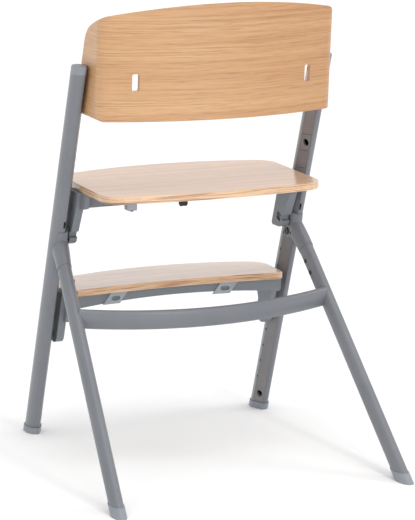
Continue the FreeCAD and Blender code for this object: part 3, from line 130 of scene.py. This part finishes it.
def moulded(name, colour, roughness=0.5):
    """Moulded plastic with a fine spark-eroded texture."""
    t = Tree(name)
    fine = t.noise(t.coords.outputs["Object"], scale=1600.0, detail=2.0)
    soft = t.noise(t.coords.outputs["Object"], scale=30.0, detail=3.0)
    dark = tuple(c * 0.94 for c in colour)
    light = tuple(min(c * 1.05, 1.0) for c in colour)
    t.link(t.ramp(soft, [(0.3, dark), (0.7, light)]), t.shader.inputs["Base Color"])
    rough = t.math("MULTIPLY_ADD", soft, 0.10, roughness - 0.05)
    t.link(rough, t.shader.inputs["Roughness"])
    t.link(t.bump(fine, 0.18, 0.0003), t.shader.inputs["Normal"])
    return t.material


def dark_steel(name):
    """Dark zinc screw steel with turned marks."""
    t = Tree(name)
    marks = t.noise(t.stretch((300, 300, 300)), scale=4.0, detail=4.0)
    t.link(t.ramp(marks, [(0.3, (0.035, 0.030, 0.026)), (0.7, (0.075, 0.066, 0.058))]),
           t.shader.inputs["Base Color"])
    t.shader.inputs["Metallic"].default_value = 0.85
    rough = t.math("MULTIPLY_ADD", marks, 0.25, 0.28)
    t.link(rough, t.shader.inputs["Roughness"])
    return t.material


def oak(name, light, dark, coat=0.25, coat_roughness=0.2, roughness=0.38, layered=True, shade_tint=None):
    """Lacquered oak ply: veneer with long soft figure and fine pores; stacked layers on the cut edges."""
    t = Tree(name)
    # a flat board has its grain along X; a bent one has it around the bend, a little aslant
    lay = (0.0, 0.0, 0.0) if layered else (0.0, -0.05, 0.0)

    def across(along, over):
        return (along, over, over) if layered else (along, along, over)

    figure = t.noise(t.stretch(across(0.9, 24), lay), scale=1.0, detail=3.0, roughness=0.6, distortion=0.6)
    fibre = t.noise(t.stretch(across(2.6, 300), lay), scale=1.0, detail=5.0, roughness=0.75, distortion=0.2)
    pores = t.noise(t.stretch(across(22, 1000), lay), scale=1.0, detail=2.0, roughness=0.5)
    middle = tuple((a + b) / 2 for a, b in zip(light, dark))
    base = t.ramp(figure, [(0.30, light), (0.50, middle), (0.70, dark)])
    if shade_tint is not None:
        # painted shade: the board is darkened towards its -X end (the child's right), where less light
        # falls, mottled by a soft noise band
        axes = t.node("ShaderNodeSeparateXYZ")
        t.link(t.coords.outputs["Object"], axes.inputs[0])
        side = t.node("ShaderNodeMapRange")
        t.link(axes.outputs["X"], side.inputs["Value"])
        for key, value in zip(("From Min", "From Max", "To Min", "To Max"), (0.12, -0.24, 0.0, 1.0)):
            side.inputs[key].default_value = value
        band = t.noise(t.stretch((1.1, 1.1, 9), lay), scale=1.0, detail=3.0, roughness=0.5, distortion=0.6)
        shade_weight = t.math("MULTIPLY", t.math("ADD", side.outputs["Result"], band), 0.58, clamp=True)
        base = t.mix(shade_weight, base, t.mix(1.0, base, shade_tint, "MULTIPLY"))
    streak = t.ramp(fibre, [(0.34, (0.78, 0.74, 0.69)), (0.52, (1.0, 1.0, 1.0)),
                            (0.68, (1.07, 1.07, 1.07))])
    holes = t.ramp(pores, [(0.36, (0.66, 0.58, 0.50)), (0.46, (1.0, 1.0, 1.0))])
    colour = t.mix(1.0, base, streak, "MULTIPLY")
    colour = t.mix(0.55, colour, holes, "MULTIPLY")
    if layered:
        # the edge of the ply: layers run a little aslant where the rim is rounded off
        layers = t.noise(t.stretch((9, 9, 620), (0.0, 0.035, 0.0)), scale=1.0, detail=1.5, roughness=0.4,
                         distortion=0.15)
        rim = t.ramp(layers, [(0.30, EDGE_DARK), (0.44, EDGE_MID), (0.55, EDGE_LIGHT), (0.70, EDGE_MID)])
        rim = t.mix(1.0, rim, streak, "MULTIPLY")
        facing = t.node("ShaderNodeSeparateXYZ")
        t.link(t.coords.outputs["Normal"], facing.inputs[0])
        flat = t.math("ABSOLUTE", facing.outputs["Z"])
        mask = t.ramp(flat, [(0.62, (0.0, 0.0, 0.0)), (0.78, (1.0, 1.0, 1.0))])
        colour = t.mix(mask, rim, colour)
    t.link(colour, t.shader.inputs["Base Color"])
    rough = t.math("MULTIPLY_ADD", fibre, 0.12, roughness - 0.06)
    t.link(rough, t.shader.inputs["Roughness"])
    t.link(t.bump(t.math("ADD", fibre, pores), 0.10, 0.0003), t.shader.inputs["Normal"])
    t.shader.inputs["Coat Weight"].default_value = coat
    t.shader.inputs["Coat Roughness"].default_value = coat_roughness
    return t.material


EDGE_DARK = linear(112, 68, 36)
EDGE_MID = linear(196, 152, 112)
EDGE_LIGHT = linear(226, 192, 156)
GREY = linear(116, 119, 125)
coat_frame = powder_coat("powder_coat_frame", GREY, 0.34)
coat_cast = powder_coat("powder_coat_casting", linear(116, 121, 127), 0.48, 1.3)
strip = moulded("plastic_strip", linear(126, 123, 125), 0.5)
plug = moulded("plastic_plug", linear(135, 140, 147), 0.45)
clip = moulded("plastic_clip", linear(150, 156, 164), 0.4)
black = moulded("plastic_dark", linear(15, 15, 16), 0.55)
steel = dark_steel("steel_dark")
# painted reflection: the seat and footrest oak gets paler, pinker tones than the backrest oak, the footrest
# nearly white, standing in for white light reflected off their tops
oak_flat = oak("oak_flat", linear(232, 190, 155), linear(214, 169, 133), 1.0, 0.16)
oak_foot_with_painted_reflection = oak("oak_foot_with_painted_reflection", linear(250, 226, 208), linear(240, 210, 190), 1.0, 0.16)
# the backrest's tint is painted shade, darkening its -X end
oak_back = oak("oak_back", linear(215, 173, 129), linear(198, 151, 106), 0.2, 0.3, layered=False,
               shade_tint=(0.76, 0.68, 0.60))

PAINT = {
    "oak_ply": oak_flat,
    "grey_strip": strip,
    "grey_plug": plug,
    "pale_clip": clip,
    "dark_block": black,
    "dark_steel": steel,
    "grey_casting": coat_cast,
    "grey_tube": coat_frame,
}
BOARDS = {"backrest_board": oak_back, "footrest_board": oak_foot_with_painted_reflection}
slots = {item["node"]: item["material_slot"] for item in frame["record"]["subparts"]}
for name, item in nodes.items():
    paint = BOARDS.get(name, PAINT[slots[name]])
    for place in item.material_slots:
        place.material = paint

# ---------------------------------------------------------------- floor, light and camera
FLOOR_SIZE = 60.0
FLOOR_WHITE = ((0.955, 0.955, 0.955), (0.965, 0.965, 0.965))
bpy.ops.mesh.primitive_plane_add(size=FLOOR_SIZE, location=(0, 0, 0))
floor = bpy.context.object
floor.name = "floor"
t = Tree("floor_white")
soft = t.noise(t.coords.outputs["Object"], scale=2.0, detail=2.0)
t.link(t.ramp(soft, list(zip((0.3, 0.7), FLOOR_WHITE))), t.shader.inputs["Base Color"])
t.shader.inputs["Roughness"].default_value = 0.9
t.shader.inputs["Specular IOR Level"].default_value = 0.1
floor.data.materials.append(t.material)

world = bpy.data.worlds.new("studio")
bpy.context.scene.world = world
world.use_nodes = True
sky = world.node_tree
way = sky.nodes.new("ShaderNodeTexCoord")
parts = sky.nodes.new("ShaderNodeSeparateXYZ")
sky.links.new(way.outputs["Generated"], parts.inputs[0])
fade = sky.nodes.new("ShaderNodeMapRange")
sky.links.new(parts.outputs["X"], fade.inputs["Value"])
# the room is a little brighter on the child's left
ROOM_LIGHT = (0.80, 0.90)
for key, value in zip(("From Min", "From Max", "To Min", "To Max"), (-1.0, 1.0, *ROOM_LIGHT)):
    fade.inputs[key].default_value = value
sky.nodes["Background"].inputs["Color"].default_value = (1.0, 1.0, 1.0, 1.0)
sky.links.new(fade.outputs["Result"], sky.nodes["Background"].inputs["Strength"])


def area(name, place, target, size, power):
    """Rectangular lamp aimed at a point; metres and watts."""
    data = bpy.data.lights.new(name, "AREA")
    data.shape = "RECTANGLE"
    data.size = size[0]
    data.size_y = size[1]
    data.energy = power
    item = bpy.data.objects.new(name, data)
    bpy.context.collection.objects.link(item)
    item.location = place
    item.rotation_euler = (Vector(target) - Vector(place)).to_track_quat("-Z", "Y").to_euler()


def sunlight(name, direction, energy, angle):
    """Sun seen in a direction; the angle in degrees makes its shadows soft."""
    data = bpy.data.lights.new(name, "SUN")
    data.energy = energy
    data.angle = math.radians(angle)
    item = bpy.data.objects.new(name, data)
    bpy.context.collection.objects.link(item)
    item.rotation_euler = Vector(direction).to_track_quat("Z", "Y").to_euler()


sunlight("overhead", (-0.06, 0.30, 1.0), 0.60, 36)
sunlight("side", (-0.85, 0.30, 0.60), 0.42, 20)
area("window", (2.4, 1.6, 1.3), (0, 0, 0.45), (1.6, 2.0), 6)
area("strip_light", (-0.6, 3.4, 1.5), (0, 0, 0.40), (0.25, 2.4), 26)

CAMERA_AZ = math.radians(157.316)
CAMERA_PITCH = math.radians(12.294)
CAMERA_ROLL = math.radians(0.17)
CAMERA_DISTANCE = 5.0235
SENSOR_WIDTH = 36.0
FOCAL_LENGTH = 186.7154

back = Vector((math.sin(CAMERA_AZ) * math.cos(CAMERA_PITCH), -math.cos(CAMERA_AZ) * math.cos(CAMERA_PITCH),
               math.sin(CAMERA_PITCH)))
right = Vector((0, 0, 1)).cross(back).normalized()
up = back.cross(right)
target = Vector((0, 0, 0.3965)) + right * 0.0075 - up * 0.0158
right, up = (right * math.cos(CAMERA_ROLL) + up * math.sin(CAMERA_ROLL),
             up * math.cos(CAMERA_ROLL) - right * math.sin(CAMERA_ROLL))
camera_data = bpy.data.cameras.new("camera")
camera = bpy.data.objects.new("camera", camera_data)
bpy.context.collection.objects.link(camera)
camera_data.sensor_width = SENSOR_WIDTH
camera_data.lens = FOCAL_LENGTH
camera.matrix_world = Matrix.Translation(target + back * CAMERA_DISTANCE) @ Matrix(
    (right, up, back)).transposed().to_4x4()
bpy.context.scene.camera = camera
bpy.context.scene.view_settings.view_transform = "Standard"
